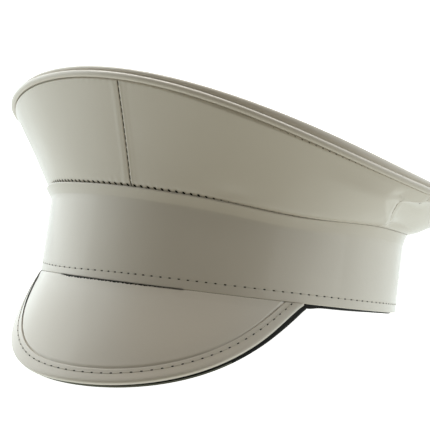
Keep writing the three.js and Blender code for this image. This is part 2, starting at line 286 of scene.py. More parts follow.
def tint(nodes, links, source, one, other):
    """A colour that wanders between two near shades."""
    mix = nodes.new("ShaderNodeMix")
    mix.data_type = "RGBA"
    mix.inputs["A"].default_value = (*one, 1)
    mix.inputs["B"].default_value = (*other, 1)
    links.new(between(nodes, links, source, 0, 1), mix.inputs["Factor"])
    return mix.outputs["Result"]


def bumped(nodes, links, source, depth, strength, under=None):
    bump = nodes.new("ShaderNodeBump")
    bump.inputs["Distance"].default_value = depth
    bump.inputs["Strength"].default_value = strength
    links.new(source, bump.inputs["Height"])
    if under is not None:
        links.new(under, bump.inputs["Normal"])
    return bump.outputs["Normal"]


def patent_vinyl():
    """Ivory vinyl under a clear gloss coat, clouded, with a soft orange-peel skin and rubbed gloss."""
    made, nodes, links, shader = material("patent_vinyl")
    clouds = speckle(nodes, links, scale=14, detail=3)
    ivory = tint(nodes, links, clouds, (0.80, 0.745, 0.665), (0.84, 0.787, 0.713))
    links.new(ivory, shader.inputs["Base Color"])
    rubbed = speckle(nodes, links, scale=55, detail=4)
    links.new(between(nodes, links, rubbed, low=0.3, high=0.42), shader.inputs["Roughness"])
    shader.inputs["IOR"].default_value = 1.5
    shader.inputs["Coat Weight"].default_value = 0.7
    shader.inputs["Coat Roughness"].default_value = 0.045
    waves = speckle(nodes, links, scale=24, detail=1)
    peel = speckle(nodes, links, scale=420, detail=2)
    grain = speckle(nodes, links, scale=2600, detail=2)
    wavy = bumped(nodes, links, waves.outputs["Fac"], depth=0.002, strength=0.3)
    soft = bumped(nodes, links, peel.outputs["Fac"], depth=0.00012, strength=0.35, under=wavy)
    normal = bumped(nodes, links, grain.outputs["Fac"], depth=0.00003, strength=0.25, under=soft)
    links.new(normal, shader.inputs["Normal"])
    links.new(soft, shader.inputs["Coat Normal"])
    return made


def backing_cloth():
    """Thin cotton weave glued to the back of the vinyl, seen inside the cap."""
    made, nodes, links, shader = material("backing_cloth")
    uneven = speckle(nodes, links, scale=900, detail=3)
    cotton = tint(nodes, links, uneven, (0.62, 0.60, 0.55), (0.70, 0.685, 0.64))
    links.new(cotton, shader.inputs["Base Color"])
    shader.inputs["Roughness"].default_value = 0.92
    shader.inputs["Sheen Weight"].default_value = 0.2
    place = nodes.new("ShaderNodeTexCoord")
    height = None
    for direction in ("X", "Y"):
        yarn = nodes.new("ShaderNodeTexWave")
        yarn.bands_direction = direction
        yarn.inputs["Scale"].default_value = 380
        yarn.inputs["Distortion"].default_value = 0.6
        links.new(place.outputs["UV"], yarn.inputs["Vector"])
        if height is None:
            height = yarn.outputs["Fac"]
        else:
            crossed = nodes.new("ShaderNodeMath")
            crossed.operation = "MAXIMUM"
            links.new(height, crossed.inputs[0])
            links.new(yarn.outputs["Fac"], crossed.inputs[1])
            height = crossed.outputs["Value"]
    links.new(bumped(nodes, links, height, depth=0.0002, strength=0.6), shader.inputs["Normal"])
    return made


def sewing_thread():
    """Ivory polyester thread with a dull sheen."""
    made, nodes, links, shader = material("sewing_thread")
    fibre = speckle(nodes, links, scale=4000, detail=2)
    polyester = tint(nodes, links, fibre, (0.70, 0.66, 0.59), (0.80, 0.76, 0.69))
    links.new(polyester, shader.inputs["Base Color"])
    shader.inputs["Roughness"].default_value = 0.7
    shader.inputs["Sheen Weight"].default_value = 0.3
    twist = bumped(nodes, links, fibre.outputs["Fac"], depth=0.00005, strength=0.5)
    links.new(twist, shader.inputs["Normal"])
    return made


def painted_hole_shade():
    """Painted shade: a near-black, slightly patchy colour standing in for the shadow inside needle holes and
    seam gaps.
    """
    made, nodes, links, shader = material("painted_hole_shade")
    shade_patches = speckle(nodes, links, scale=3000, detail=2)
    shade = tint(nodes, links, shade_patches, (0.012, 0.011, 0.009), (0.03, 0.028, 0.023))
    links.new(shade, shader.inputs["Base Color"])
    shader.inputs["Roughness"].default_value = 0.9
    shader.inputs["Specular IOR Level"].default_value = 0.1
    return made


# The fourth finish is painted shade for needle holes and seam gaps.
VINYL, CLOTH, THREAD, PAINTED_SHADE = range(4)
vinyl_finishes = [patent_vinyl(), backing_cloth(), sewing_thread(), painted_hole_shade()]

band_angles = np.linspace(0, 2 * np.pi, BAND_COLUMNS, endpoint=False)


def band_rows(roll_round):
    """Outline of the band's section from the lower fold to the padded top: share of the height, rise and
    distance out."""
    turn = np.linspace(0, np.pi / 2, HEM_ROWS)
    fold = [(0, HEM_ROUND * (1 - math.cos(t)), HEM_ROUND * (math.sin(t) - 1)) for t in turn]
    low = [(0, rise, 0) for rise in np.linspace(LOW_START, LOW_END, LOW_ROWS)]
    wall = [(t, LOW_END * (1 - t) - FLARE_DROP * t, 0) for t in np.linspace(WALL_FIRST, 1, WALL_ROWS)]
    flare = [(1, -roll_round * t - FLARE_DROP * (1 - t), ROLL_OUT * t ** FLARE_CURVE)
             for t in np.linspace(FLARE_FIRST, FLARE_LAST, FLARE_ROWS)]
    arc = np.radians(np.linspace(0, ROLL_TURN, ROLL_ROWS))
    roll = [(1, roll_round * (math.sin(t) - 1), ROLL_OUT - roll_round * (1 - math.cos(t))) for t in arc]
    return np.array(fold + low + wall + flare + roll)


def stitch_angles(point_at, start, end, pitch, crowding=()):
    """Places that divide a line into whole stitches of about one length, shorter where they crowd."""
    fine = np.linspace(start, end, STITCH_SEARCH)
    length = lengths_along(point_at(fine))
    crowd = 1 + sum(row["extra"] * swell(fine[1:], row["angle"], row["across"]) for row in crowding)
    counted = np.concatenate([[0], np.cumsum(np.diff(length) * crowd)])
    count = round(counted[-1] / pitch)
    return np.interp(np.linspace(0, counted[-1], count + 1), counted, fine)


def away(value, places):
    """Distance from each value to the nearest of the places, which are in order."""
    after = np.clip(np.searchsorted(places, value), 1, len(places) - 1)
    return np.minimum(np.abs(value - places[after - 1]), np.abs(value - places[after]))


def stitch_height(angle):
    return BAND_STITCH_HEIGHT - STITCH_DIP * swell(angle, STITCH_DIP_ANGLE, STITCH_DIP_ACROSS)


band_stitches = stitch_angles(lambda a: band_point(a, stitch_height(a), 0), 0, 2 * np.pi,
                              BAND_STITCH_PITCH, STITCH_CROWDING)
tight = ease(degrees_from_front(band_angles), TIGHT_START, TIGHT_END)[:, None, None]
band_section = band_rows(ROLL_ROUND) * (1 - tight) + band_rows(TIGHT_ROLL) * tight
share, rise, out = np.moveaxis(band_section, -1, 0)
flare = 1 + RIGHT_FLARE * right_side(band_angles)[:, None] - TIGHT_FLARE_LOSS * tight[:, 0]
out = np.where(out > 0, out * flare, out)
height = share * band_top(band_angles)[:, None] + rise
from_hole = away(band_angles, band_stitches)[:, None] * (BAND_LENGTH + BAND_WIDTH) / 4
above_stitch = height - stitch_height(band_angles)[:, None]
furrow = FURROW_DEPTH * np.exp(-(above_stitch / FURROW_WIDTH) ** 2)
dips = DIP_DEPTH * np.exp(-(above_stitch / DIP_WIDTH) ** 2 - (from_hole / DIP_WIDTH) ** 2)
band_outer = band_point(band_angles[:, None], height, out - furrow - dips)
inner_share = np.linspace(1, 0, INNER_ROWS)
closed = np.maximum(tight[:, 0], right_side(band_angles)[:, None])
inner_top = band_top(band_angles)[:, None] - TOP_FALL + (TOP_FALL + TIGHT_TOP_RISE) * closed
band_inner = band_point(band_angles[:, None], inner_top * inner_share, -BAND_WALL)
band_finish = np.array([VINYL] * share.shape[1] + [CLOTH] * len(inner_share))
# The needle holes of the band's stitch row are darkened with painted shade.
hole_places = band_point(band_stitches[:-1], stitch_height(band_stitches[:-1]), -HOLE_SUNK)
hole_square = oval_square(BAND_LENGTH / 2, BAND_WIDTH / 2, band_stitches[:-1])
hole_run = unit(np.roll(hole_places, -1, axis=0) - np.roll(hole_places, 1, axis=0))
band = sewn("band", [
    loft(np.concatenate([band_outer, band_inner], axis=1), True, band_finish),
    threads(hole_places, np.roll(hole_places, -1, axis=0), hole_square, THREAD_ROUND, THREAD),
    needle_holes(hole_places, hole_run, hole_square, HOLE_LONG, HOLE_WIDE, PAINTED_SHADE),
], vinyl_finishes)


# Sweatband
# A strip of black leather inside the band, sewn to it along the lower edge, where a narrow line of it shows.
# Its ends are joined at the back of the head.
SWEATBAND_WALL, SWEATBAND_TOP, SWEATBAND_DROP = 1.2, 30.0, 0.8
SLIPS = [
    {"angle": 68, "across": 16, "drop": 0.5},
    {"angle": 60.5, "across": 3.0, "drop": 1.0},
]
SWEATBAND_COLUMNS, LEATHER_ROWS, LIP_ROWS = 480, 26, 9
LEATHER_ROUND, LEATHER_GAP, LEATHER_HOLE_PROUD = 0.5, 0.3, 0.04
SWEATBAND_STITCH_HEIGHT, SWEATBAND_STITCH_PITCH = 2.6, 3.4


def black_leather(name, shade, worn, pores):
    """Black grained hide or vinyl: pebbled, a little greyer where it is rubbed."""
    made, nodes, links, shader = material(name)
    rubbed = speckle(nodes, links, scale=60, detail=4)
    links.new(tint(nodes, links, rubbed, shade, worn), shader.inputs["Base Color"])
    links.new(between(nodes, links, rubbed, low=0.42, high=0.58), shader.inputs["Roughness"])
    shader.inputs["Specular IOR Level"].default_value = 0.2
    place = nodes.new("ShaderNodeTexCoord")
    pebble = nodes.new("ShaderNodeTexVoronoi")
    pebble.inputs["Scale"].default_value = pores
    links.new(place.outputs["Object"], pebble.inputs["Vector"])
    grain = bumped(nodes, links, pebble.outputs["Distance"], depth=0.0002, strength=0.5)
    links.new(grain, shader.inputs["Normal"])
    return made


# The third finish, shared with the vinyl pieces, is the painted shade of the needle holes.
LEATHER, LEATHER_THREAD, LEATHER_PAINTED_SHADE = range(3)
leather_finishes = [
    black_leather("sweatband_leather", (0.007, 0.007, 0.007), (0.014, 0.0135, 0.013), 900),
    black_leather("black_thread", (0.02, 0.02, 0.021), (0.035, 0.035, 0.036), 3000),
    vinyl_finishes[PAINTED_SHADE],
]

leather_angles = np.linspace(0, 2 * np.pi, SWEATBAND_COLUMNS, endpoint=False)
leather_face = -BAND_WALL - LEATHER_GAP
leather_back = leather_face - SWEATBAND_WALL
turn = np.linspace(0, np.pi, LIP_ROWS)
half_wall = SWEATBAND_WALL / 2
lip_out = leather_face - half_wall + half_wall * np.cos(turn)
lip_up = LEATHER_ROUND * np.sin(turn)
leather_height = np.concatenate([
    np.linspace(-SWEATBAND_DROP + LEATHER_ROUND, SWEATBAND_TOP - LEATHER_ROUND, LEATHER_ROWS),
    SWEATBAND_TOP - LEATHER_ROUND + lip_up[1:-1],
    np.linspace(SWEATBAND_TOP - LEATHER_ROUND, -SWEATBAND_DROP + LEATHER_ROUND, LEATHER_ROWS),
    -SWEATBAND_DROP + LEATHER_ROUND - lip_up[1:-1],
])
leather_out = np.concatenate([
    np.full(LEATHER_ROWS, leather_face),
    lip_out[1:-1],
    np.full(LEATHER_ROWS, leather_back),
    lip_out[::-1][1:-1],
])
slip = sum(row["drop"] * swell(leather_angles, row["angle"], row["across"]) for row in SLIPS)[:, None]
leather_loop = band_point(leather_angles[:, None], leather_height - slip, leather_out[None])
leather_stitches = stitch_angles(lambda a: band_point(a, SWEATBAND_STITCH_HEIGHT, leather_back),
                                 0, 2 * np.pi, SWEATBAND_STITCH_PITCH)[:-1]
leather_holes = band_point(leather_stitches, SWEATBAND_STITCH_HEIGHT, leather_back - LEATHER_HOLE_PROUD)
leather_square = -oval_square(BAND_LENGTH / 2, BAND_WIDTH / 2, leather_stitches)
leather_run = unit(np.roll(leather_holes, -1, axis=0) - np.roll(leather_holes, 1, axis=0))
sweatband = sewn("sweatband", [
    loft(leather_loop, True, np.full(len(leather_height), LEATHER)),
    threads(leather_holes, np.roll(leather_holes, -1, axis=0), leather_square, THREAD_ROUND, LEATHER_THREAD),
    needle_holes(leather_holes, leather_run, leather_square, HOLE_LONG, HOLE_WIDE, LEATHER_PAINTED_SHADE),
], leather_finishes)


# Crown quarters
# Four flared panels of the same vinyl, sewn edge to edge at the front, sides and back, and between band and
# rim. Their edges turn in at the seams, where the stitches pull small puckers. The wearer's left side has
# buckled into a fold.
RIM_LENGTH, RIM_WIDTH, RIM_LEFT, RIM_BACK = 262.6, 238.8, 2.5, 7.6
RIM_SIDE_HEIGHT, RIM_FRONT_RISE, RIM_BACK_RISE, RIM_LEFT_DROP = 64.0, 26.4, 4.0, 7.8
QUARTER_WALL, SIDE_SEAM, FRONT_SEAM_LEAN, FRONT_SEAM_TOP = 1.4, 77.0, 1.65, -0.25
SEAT_OUT, TIGHT_SEAT_OUT, RIGHT_SEAT_OUT = 1.0, 1.5, 1.7
LEFT_SWELL_ANGLE, LEFT_SWELL_ACROSS, RIM_SEAM_DROP, LEFT_SEAM_DROP = 50.0, 30.0, 0.35, 0.65
FRONT_BELLY, SIDE_BELLY, RIGHT_BELLY_LOSS, BELLY_START, RIGHT_BELLY_START = 0.8, 4.0, 0.85, 0.03, 0.18
SEAM_ROUND, SEAT_ROUND, TIGHT_ROUND, CREASE_ROUND = 0.75, 0.4, 0.05, 0.12
SEAM_HALF_GAP, CREASE_HALF_GAP, CREASE_LOW, CREASE_HIGH = 0.06, 0.015, 0.25, 0.5
RIM_ROUND, RIM_GAP, RIM_GAP_ANGLE, RIM_GAP_ACROSS = 0.8, 0.5, 28.0, 16.0
TIGHT_RIM_LOSS, TIGHT_RIM_RISE = 0.35, 0.1
SEAM_PITCH, BAND_SEAM_PITCH = 3.3, 3.5
PUCKER_DEPTH, PUCKER_REACH, WEAK_PULL, SMOOTH_SEAM_SHARE, RIGHT_SEAM_SHARE = 0.6, 1.3, 0.3, 0.25, 0.05
SMOOTH_START, SMOOTH_END, RIGHT_SMOOTH_START, RIGHT_SMOOTH_END = 22.0, 34.0, 36.0, 48.0
RIDGE_RISE, RIDGE_PLACE, RIDGE_WIDTH, RIDGE_FADE = 0.12, 2.6, 1.2, 3.0
LIP_RISE, LIP_WIDTH = 0.3, 0.9
TICK_LONG, TICK_WIDE, TICK_SUNK = 1.35, 0.28, 0.2
TOOTH_LONG, TOOTH_WIDE, TOOTH_UP, TOOTH_SUNK, TOOTH_LEAN = 0.95, 0.55, 0.7, 0.2, 0.6
RIM_TOOTH_LEAST, RIM_TOOTH_SHARE, RIM_TOOTH_ANGLE, RIM_TOOTH_ACROSS = 0.02, 0.6, 50.0, 12.0
FOLD_LINE = [
    {"height": 0.0, "angle": 80.5},
    {"height": 0.07, "angle": 80.2},
    {"height": 0.18, "angle": 79.6},
    {"height": 0.31, "angle": 77.2},
    {"height": 0.42, "angle": 75.4},
    {"height": 0.52, "angle": 74.2},
    {"height": 0.6, "angle": 73.2},
    {"height": 0.66, "angle": 72.9},
    {"height": 0.7, "angle": 73.5},
    {"height": 0.74, "angle": 75.2},
    {"height": 0.78, "angle": 77.3},
    {"height": 0.83, "angle": 78.2},
    {"height": 0.9, "angle": 77.6},
    {"height": 1.0, "angle": 76.4},
]
FACET_LINE = [
    {"height": 0.08, "ridge": 79.9, "foot": 80.1, "rise": 0.0, "sink": 0.0},
    {"height": 0.16, "ridge": 78.3, "foot": 79.7, "rise": 0.3, "sink": 0.1},
    {"height": 0.385, "ridge": 72.4, "foot": 75.9, "rise": 1.1, "sink": 0.5},
    {"height": 0.61, "ridge": 67.2, "foot": 73.1, "rise": 1.9, "sink": 0.9},
    {"height": 0.71, "ridge": 66.2, "foot": 72.8, "rise": 1.9, "sink": 0.8},
    {"height": 0.8, "ridge": 65.9, "foot": 69.5, "rise": 1.3, "sink": 0.3},
    {"height": 0.9, "ridge": 65.8, "foot": 69.5, "rise": 0.6, "sink": 0.0},
    {"height": 1.0, "ridge": 65.8, "foot": 70.0, "rise": 0.0, "sink": 0.0},
]
FOLD_TOP, FOLD_TOP_FADE, FOLD_SEAT_FADE = 0.79, 0.1, 0.06
FACET_SOFT, RIDGE_REACH, FOOT_REACH, LAP_RISE, LAP_REACH = 0.25, 20.0, 4.0, 0.15, 8.0
FOOT_FADE_HEIGHT, FOLD_WALL_SHARE = 0.71, 0.8
BAG_SINK, BAG_REACH, BAG_END = 4.2, 12.0, 125.0
LINE_STEPS, FOLD_LINE_POINTS, EDGE_CROWDING, NUDGE = 8, 80, 0.6, 0.001
QUARTERS = [
    {"name": "crown_front_left", "start": 0, "end": SIDE_SEAM, "columns": 400, "rows": 60,
     "cut": (0.172, 0.062), "cut_area": 0.0066,
     "seams": [{"edge": 0, "from": 0.0}, {"edge": -1, "from": FOLD_TOP}]},
    {"name": "crown_back_left", "start": SIDE_SEAM, "end": 180, "columns": 400, "rows": 60,
     "cut": (0.232, 0.056), "cut_area": 0.0084, "seams": []},
    {"name": "crown_back_right", "start": 180, "end": 360 - SIDE_SEAM, "columns": 380, "rows": 44,
     "cut": (0.232, 0.056), "cut_area": 0.009,
     "seams": [{"edge": 0, "from": 0.0}, {"edge": -1, "from": 0.0}]},
    {"name": "crown_front_right", "start": 360 - SIDE_SEAM, "end": 360, "columns": 360, "rows": 50,
     "cut": (0.172, 0.062), "cut_area": 0.0072, "seams": []},
]
DENTS = [
    {"angle": 31, "height": 0.1, "across": 6, "tall": 0.09, "depth": 0.8},
    {"angle": -48, "height": 0.45, "across": 12, "tall": 0.3, "depth": 0.7},
]


def rim_point(angle, share, out, up):
    along = np.cos(angle) * share
    rise = np.where(along > 0, RIM_FRONT_RISE, RIM_BACK_RISE)
    height = RIM_SIDE_HEIGHT + rise * along ** 2 - RIM_LEFT_DROP * share * np.sin(angle) + up
    point = oval_point(share * RIM_LENGTH / 2, RIM_WIDTH / 2, angle, 0, height)
    point[..., 0] *= share
    square = oval_square(RIM_LENGTH / 2, RIM_WIDTH / 2, angle)
    return point + square * np.asarray(out)[..., None] + np.array([RIM_LEFT, RIM_BACK, 0])


def left_swell(angle):
    """How far the rim is swollen: 1 at the wearer's left of the front, fading to both sides."""
    return swell(angle, LEFT_SWELL_ANGLE, LEFT_SWELL_ACROSS)


def seat_tight(angle):
    """How tightly the crown's lower edge lies on the band: 0 at front and back, 1 at the wearer's left."""
    degrees = degrees_from_front(angle)
    return ease(degrees, TIGHT_START, TIGHT_END) * (1 - ease(degrees, BACK_FADE_START, BACK_FADE_END))


def seam_pull(angle):
    """How hard the stitches pull at the crown's sewn edges: 1 at the front and back, little at both sides."""
    degrees = degrees_from_front(angle)
    left = ease(degrees, SMOOTH_START, SMOOTH_END)
    left = left * (1 - ease(degrees, BACK_FADE_START, BACK_FADE_END))
    right = ease(-degrees, RIGHT_SMOOTH_START, RIGHT_SMOOTH_END)
    right = right * (1 - ease(-degrees, BACK_FADE_START, BACK_FADE_END))
    return 1 + (SMOOTH_SEAM_SHARE - 1) * left + (RIGHT_SEAM_SHARE - 1) * right


def rim_gap(angle):
    """How far the rim seam has been pulled open: 1 at the left of the front seam, fading to both sides."""
    return swell(angle, RIM_GAP_ANGLE, RIM_GAP_ACROSS)


def crown_wall(angle, height):
    """Smooth crown wall, from 0 at the band's top edge to 1 at the rim, swelling out just above the band."""
    seat_out = SEAT_OUT + (TIGHT_SEAT_OUT - SEAT_OUT) * seat_tight(angle)
    seat = band_point(angle, BAND_HEIGHT, seat_out + (RIGHT_SEAT_OUT - SEAT_OUT) * right_side(angle))
    seat[..., 2] = band_top(angle)
    height = height[..., None]
    rim_drop = RIM_SEAM_DROP + LEFT_SEAM_DROP * left_swell(angle) + RIM_GAP * rim_gap(angle)
    rim_drop = rim_drop - TIGHT_RIM_RISE * seat_tight(angle)
    wall = seat * (1 - height) + rim_point(angle, 1, 0, -rim_drop) * height
    fullness = FRONT_BELLY + (SIDE_BELLY - FRONT_BELLY) * np.sin(angle) ** 2
    fullness = (fullness * (1 - RIGHT_BELLY_LOSS * right_side(angle)))[..., None]
    belly_start = BELLY_START + (RIGHT_BELLY_START - BELLY_START) * right_side(angle)[..., None]
    belly = fullness * (1 - np.exp(-height / belly_start)) * (1 - height) ** 2
    return wall + oval_square(RIM_LENGTH / 2, RIM_WIDTH / 2, angle) * belly


def run_along(surface, a, b):
    return surface(a + NUDGE, b) - surface(a - NUDGE, b)


def climb_along(surface, a, b):
    return surface(a, b + NUDGE) - surface(a, b - NUDGE)


def square_to(surface, a, b):
    return unit(np.cross(run_along(surface, a, b), climb_along(surface, a, b)))


def smooth_line(points, steps):
    """Points of a smooth line through the given ones."""
    points = np.array(points, float)
    before = np.concatenate([points[:1], points[:-1]])
    after = np.concatenate([points[1:], points[-1:]])
    slope = (after - before) / 2
    part = np.linspace(0, 1, steps, endpoint=False)[:, None]
    spans = [
        (1 + 2 * part) * (1 - part) ** 2 * points[i] + part * (1 - part) ** 2 * slope[i]
        + part ** 2 * (3 - 2 * part) * points[i + 1] + part ** 2 * (part - 1) * slope[i + 1]
        for i in range(len(points) - 1)
    ]
    return np.concatenate(spans + [points[-1:]])


def left_seam(height):
    """Angle of the wearer's left seam, pushed out of its line by the fold below it."""
    line_height, line_angle = smooth_line([(row["height"], row["angle"]) for row in FOLD_LINE], LINE_STEPS).T
    return np.interp(height, line_height, line_angle)


def fold_depth(angle, height):
    """Depth of the fold and the shallow dents, which end before the sewn edges. In front of the left seam the
    wall rises to a soft ridge and slopes down to the seam. The slack panel behind the seam laps over it and
    sinks away."""
    degrees = degrees_from_front(angle)
    arc, tall = math.pi / 360 * RIM_WIDTH, FOLD_WALL_SHARE * RIM_SIDE_HEIGHT
    facet = smooth_line([list(row.values()) for row in FACET_LINE], LINE_STEPS).T
    ridge, foot, rise, sink = (np.interp(height, facet[0], column) for column in facet[1:])
    part = np.clip((degrees - ridge) / (foot - ridge), 0, 1)
    fallen = np.where(part < FACET_SOFT, part ** 2 / (2 * FACET_SOFT), part - FACET_SOFT / 2)
    fallen = fallen / (1 - FACET_SOFT / 2)
    sunk = sink * (1 - ease(degrees - foot, 0, FOOT_REACH) * (height > FOOT_FADE_HEIGHT))
    front = -rise * (1 - fallen) * (1 - ease(ridge - degrees, 0, RIDGE_REACH)) + sunk * fallen
    line_height = np.linspace(0, FOLD_TOP, FOLD_LINE_POINTS)
    off_across = (degrees[..., None] - left_seam(line_height)) * arc
    off_up = (height[..., None] - line_height) * tall
    off = np.hypot(off_across, off_up).min(axis=-1)
    bag = BAG_SINK * (1 - np.exp(-off / BAG_REACH)) * (1 - ease(degrees, SIDE_SEAM, BAG_END))
    lap = sink - LAP_RISE * ease(height, CREASE_LOW, CREASE_HIGH)
    bag = bag + lap * np.exp(-off / LAP_REACH)
    bag = bag * (1 - ease(height, FOLD_TOP, FOLD_TOP + FOLD_TOP_FADE))
    depth = np.where(degrees < left_seam(height), front, bag)
    for dent in DENTS:
        over = (height - dent["height"]) / dent["tall"]
        depth = depth + dent["depth"] * swell(angle, dent["angle"], dent["across"]) * np.exp(-over ** 2)
    return depth * ease(height, 0, FOLD_SEAT_FADE) * ease(1 - height, 0, FOLD_SEAT_FADE)


def turned_in(distance, rounding):
    """How far a rounded edge turns in at a distance from its seam."""
    short = np.clip(rounding - distance, 0, rounding)
    return rounding - np.sqrt(rounding ** 2 - short ** 2)


def crowded(start, end, count, crowding):
    """Steps from start to end that crowd together near both ends."""
    even = np.linspace(0, 1, count)
    return start + (end - start) * (even - crowding * np.sin(2 * np.pi * even) / (2 * np.pi))


def whole_pitch(run, pitch):
    """The pitch nearest to the given one that divides the whole length of a seam."""
    length = np.max(run)
    return length / round(length / pitch)


def pull(run, pitch):
    """How hard the stitches of a seam pull at a length along it, from 0 between them to 1 at each."""
    return 0.5 - 0.5 * np.cos(2 * np.pi * run / whole_pitch(run, pitch))


def stitch_middles(run, pitch):
    return np.arange(whole_pitch(run, pitch) / 2, np.max(run), whole_pitch(run, pitch))


for quarter in QUARTERS:
    rows = quarter["rows"]
    row_height = crowded(0, 1, rows, EDGE_CROWDING)
    start, end = np.full(rows, float(quarter["start"])), np.full(rows, float(quarter["end"]))
    if quarter["name"] == "crown_front_right":
        end = end + FRONT_SEAM_TOP + FRONT_SEAM_LEAN * (1 - row_height)
    if quarter["name"] == "crown_front_left":
        start = start + FRONT_SEAM_TOP + FRONT_SEAM_LEAN * (1 - row_height)
        end = left_seam(row_height)
    if quarter["name"] == "crown_back_left":
        start = left_seam(row_height)
    step = crowded(0, 1, quarter["columns"], EDGE_CROWDING)[:, None]
    start_gap = CREASE_HALF_GAP if quarter["start"] == SIDE_SEAM else SEAM_HALF_GAP
    end_gap = CREASE_HALF_GAP if quarter["end"] == SIDE_SEAM else SEAM_HALF_GAP
    angle = np.radians(start + start_gap + (end - start - start_gap - end_gap) * step)
    height = np.broadcast_to(row_height, angle.shape)
    wall = crown_wall(angle, height)
    square = square_to(crown_wall, angle, height)
    run = lengths_along(wall)
    climb = np.moveaxis(lengths_along(np.moveaxis(wall, 1, 0)), 0, 1)
    side = np.minimum(run, run[-1] - run)
    low, high = climb, climb[:, -1:] - climb
    tight = np.maximum(seat_tight(angle[:, :1]), right_side(angle[:, :1]))
    seat_round = SEAT_ROUND + (TIGHT_ROUND - SEAT_ROUND) * tight
    rim_round = SEAM_ROUND + RIM_ROUND * rim_gap(angle[:, -1:])
    rim_round = rim_round - TIGHT_RIM_LOSS * seat_tight(angle[:, -1:])
    crease_round = CREASE_ROUND * ease(row_height, CREASE_LOW, CREASE_HIGH)
    start_round = crease_round if quarter["start"] == SIDE_SEAM else SEAM_ROUND
    end_round = crease_round if quarter["end"] == SIDE_SEAM else SEAM_ROUND
    seams = np.maximum.reduce([turned_in(run, start_round), turned_in(run[-1] - run, end_round),
                               turned_in(low, seat_round), turned_in(high, rim_round)])
    tooth_size = seam_pull(angle[:, :1])
    puckers = PUCKER_DEPTH * (
        tooth_size * pull(run[:, :1], BAND_SEAM_PITCH) * np.exp(-low / PUCKER_REACH)
        + WEAK_PULL * pull(run[:, -1:], BAND_SEAM_PITCH) * np.exp(-high / PUCKER_REACH)
        + WEAK_PULL * pull(climb, SEAM_PITCH) * np.exp(-side / PUCKER_REACH))
    ridge = RIDGE_RISE * np.exp(-((side - RIDGE_PLACE) / RIDGE_WIDTH) ** 2)
    if quarter["start"] == 0:
        ridge = ridge + LIP_RISE * np.exp(-((run - LIP_WIDTH) / LIP_WIDTH) ** 2)
    ridge = ridge * ease(low, 0, RIDGE_FADE) * ease(high, 0, RIDGE_FADE)
    outer = wall + square * (ridge - fold_depth(angle, height) - seams - puckers)[..., None]
    inner = outer - square * QUARTER_WALL
    loop = np.concatenate([outer, inner[:, ::-1]], axis=1)
    parts = [loft(loop, False, np.array([VINYL] * rows + [CLOTH] * rows))]
    # Dark ovals along the band and rim seams are painted shade, standing in for the shadow in the seam's
    # pulled gaps.
    rim_size = RIM_TOOTH_LEAST + RIM_TOOTH_SHARE * swell(angle[:, -1], RIM_TOOTH_ANGLE, RIM_TOOTH_ACROSS)
    for edge, inward, share in ((0, 1, tooth_size[:, 0]), (-1, -1, rim_size)):
        tooth_places = stitch_middles(run[:, edge], BAND_SEAM_PITCH)
        tooth_angle = np.interp(tooth_places, run[:, edge], angle[:, edge])
        level = np.full(len(tooth_angle), row_height[edge])
        tooth_square = square_to(crown_wall, tooth_angle, level)
        along = unit(run_along(crown_wall, tooth_angle, level))
        upward = np.cross(tooth_square, along)
        size = np.interp(tooth_places, run[:, edge], share)
        tooth = crown_wall(tooth_angle, level) - tooth_square * TOOTH_SUNK
        tooth = tooth + upward * (inward * TOOTH_UP * size)[:, None]
        parts.append(needle_holes(tooth, unit(along * TOOTH_LEAN - upward), tooth_square, TOOTH_LONG * size,
                                  TOOTH_WIDE * size, PAINTED_SHADE))
    # Dark ticks up the sewn side edges are painted shade in the seam's needle holes.
    for seam in quarter["seams"]:
        edge = seam["edge"]
        tick_places = stitch_middles(climb[edge], SEAM_PITCH)
        tick_height = np.interp(tick_places, climb[edge], row_height)
        sewn_here = tick_height >= seam["from"]
        tick_places, tick_height = tick_places[sewn_here], tick_height[sewn_here]
        tick_angle = np.interp(tick_places, climb[edge], angle[edge])
        tick_square = square_to(crown_wall, tick_angle, tick_height)
        tick_run = unit(climb_along(crown_wall, tick_angle, tick_height))
        tick = crown_wall(tick_angle, tick_height) - tick_square * TICK_SUNK
        parts.append(needle_holes(tick, tick_run, tick_square, TICK_LONG, TICK_WIDE, PAINTED_SHADE))
    panel = sewn(quarter["name"], parts, vinyl_finishes)


# Rim piping
# A round cord in a cover of the same vinyl, sewn between the quarters and the top panel all round the rim.
# The cover's edges are caught in the seam, so only the round of the cord shows.
PIPING_ROUND, PIPING_OUT, PIPING_UP = 1.6, 0.5, 1.5
PIPING_COLUMNS, PIPING_SIDES = 720, 16

piping_angle = np.linspace(0, 2 * np.pi, PIPING_COLUMNS, endpoint=False)
piping_turn = np.linspace(0, 2 * np.pi, PIPING_SIDES, endpoint=False)
piping_angle, piping_turn = np.meshgrid(piping_angle, piping_turn, indexing="ij")
piping_up = PIPING_UP - LEFT_SEAM_DROP * left_swell(piping_angle)
piping_loop = rim_point(piping_angle, 1, PIPING_OUT + PIPING_ROUND * np.cos(piping_turn),
                        piping_up + PIPING_ROUND * np.sin(piping_turn))
sewn("rim_piping", [
    loft(piping_loop, True, np.full(PIPING_SIDES, VINYL)),
], vinyl_finishes)


# Crown top
# The top panel: one oval of the same vinyl, bowed from front to back and sewn to the piping all round.
# Its edge is rolled over a wire that keeps it taut.
TOP_WALL, TOP_SAG, TOP_UP, TOP_LIP = 1.4, 2.0, 4.2, 3.25
ROLL_TALL, LEFT_ROLL_TALL = 2.0, 4.3
TOP_COLUMNS, TOP_EDGE_STEPS, UNDER_EDGE_STEPS = 480, 5, 4
TOP_EDGE = [(-8, 0.35), (-4, 0.6), (-2.4, 0.95), (-0.9, 1.0), (-0.05, 0.75), (0.2, 0.4), (-0.3, 0)]
TOP_UNDER_EDGE = [(-1.6, 0.1), (-4, -0.1), (-8, -0.45)]
FLAT_RINGS = np.linspace(0.02, 0.86, 26)

top_angle = np.linspace(0, 2 * np.pi, TOP_COLUMNS, endpoint=False)[:, None]


def panel_rings(up):
    panel = rim_point(top_angle, FLAT_RINGS[None], 0 * FLAT_RINGS[None], up)
    panel[..., 2] -= TOP_SAG * (1 - FLAT_RINGS ** 2)
    return panel


